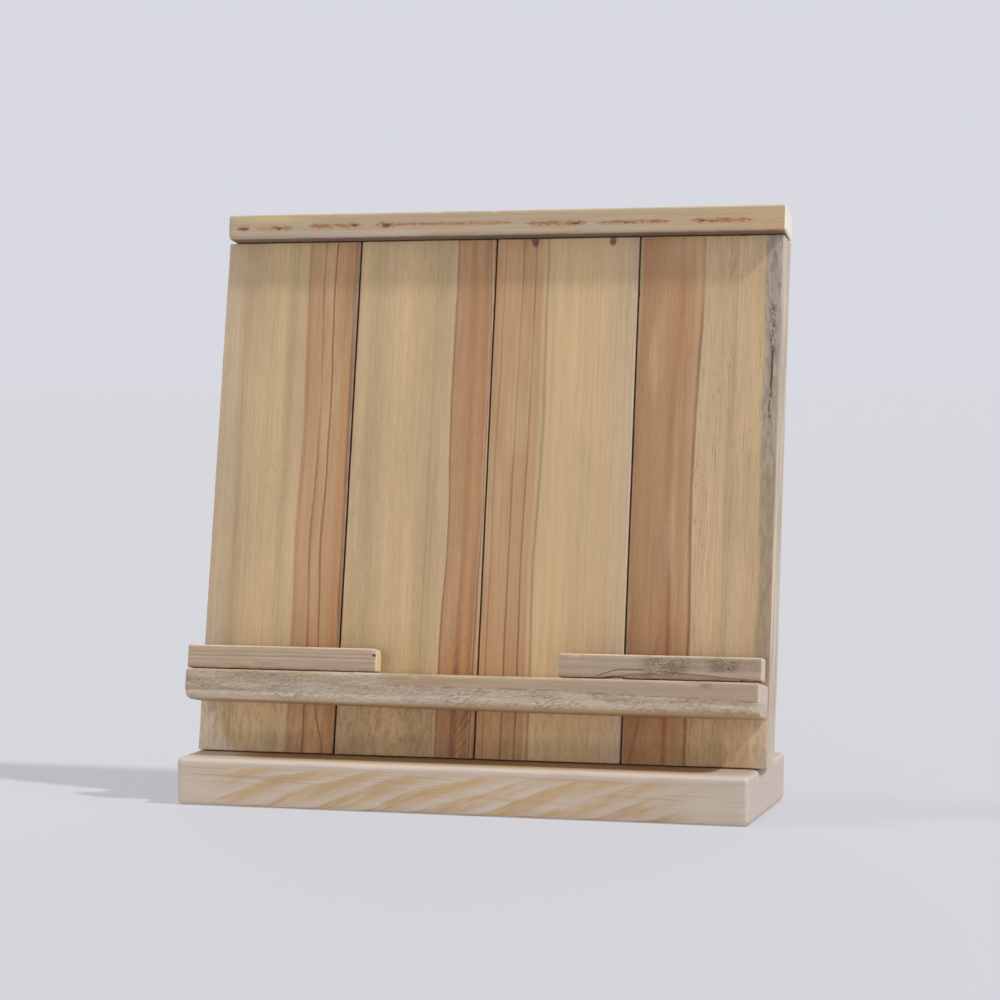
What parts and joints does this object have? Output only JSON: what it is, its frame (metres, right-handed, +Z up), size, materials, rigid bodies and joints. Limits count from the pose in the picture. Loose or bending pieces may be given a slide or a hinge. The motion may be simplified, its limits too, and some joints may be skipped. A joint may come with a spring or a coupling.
{
  "type": "tablet stand",
  "caption": "Wooden tablet stand: plank back leaning on a base board, with a ledge and lips for the tablet and a cap strip along the top.",
  "frame": {"origin": "middle of the stand's overall footprint, on the surface it stands on", "axes": "+X to the user's right along the planks' row, +Y away from the user, the way the back leans, +Z up"},
  "size_m": [0.2929, 0.094, 0.2936],
  "materials": {
    "base_pine": "bare pale pine, planed, rounded arrises",
    "plank_pine": "bare reclaimed pine, yellowish sapwood with red-brown heartwood",
    "ledge_pine": "bare reclaimed pine, rough-sawn, greyed",
    "lip_pine": "bare reclaimed pine, sanded, streaked",
    "cap_pine": "bare reclaimed pine with a reddish pith line",
    "rear_pine": "bare reclaimed pine, sawn",
    "screw_steel": "zinc plated, dull",
    "nail_steel": "bright steel, dulled"
  },
  "bodies": {
    "root": {"base_board": "base_pine", "back_plank_1": "plank_pine", "back_plank_2": "plank_pine", "back_plank_3": "plank_pine", "back_plank_4": "plank_pine", "tablet_ledge": "ledge_pine", "left_lip": "lip_pine", "right_lip": "lip_pine", "top_cap": "cap_pine", "upper_rear_batten": "rear_pine", "lower_rear_batten": "rear_pine", "left_rear_brace": "rear_pine", "right_rear_brace": "rear_pine", "base_screw_1": "screw_steel", "base_screw_2": "screw_steel", "base_screw_3": "screw_steel", "base_screw_4": "screw_steel", "brace_screw_left": "screw_steel", "brace_screw_right": "screw_steel", "upper_batten_screw_1": "screw_steel", "upper_batten_screw_2": "screw_steel", "upper_batten_screw_3": "screw_steel", "upper_batten_screw_4": "screw_steel", "lower_batten_screw_1": "screw_steel", "lower_batten_screw_2": "screw_steel", "lower_batten_screw_3": "screw_steel", "lower_batten_screw_4": "screw_steel", "ledge_screw_1": "screw_steel", "ledge_screw_2": "screw_steel", "ledge_screw_3": "screw_steel", "ledge_screw_4": "screw_steel", "cap_screw_1": "screw_steel", "cap_screw_2": "screw_steel", "cap_screw_3": "screw_steel", "cap_screw_4": "screw_steel", "left_lip_nail_1": "nail_steel", "left_lip_nail_2": "nail_steel", "right_lip_nail_1": "nail_steel", "right_lip_nail_2": "nail_steel"}
  },
  "joints": []
}
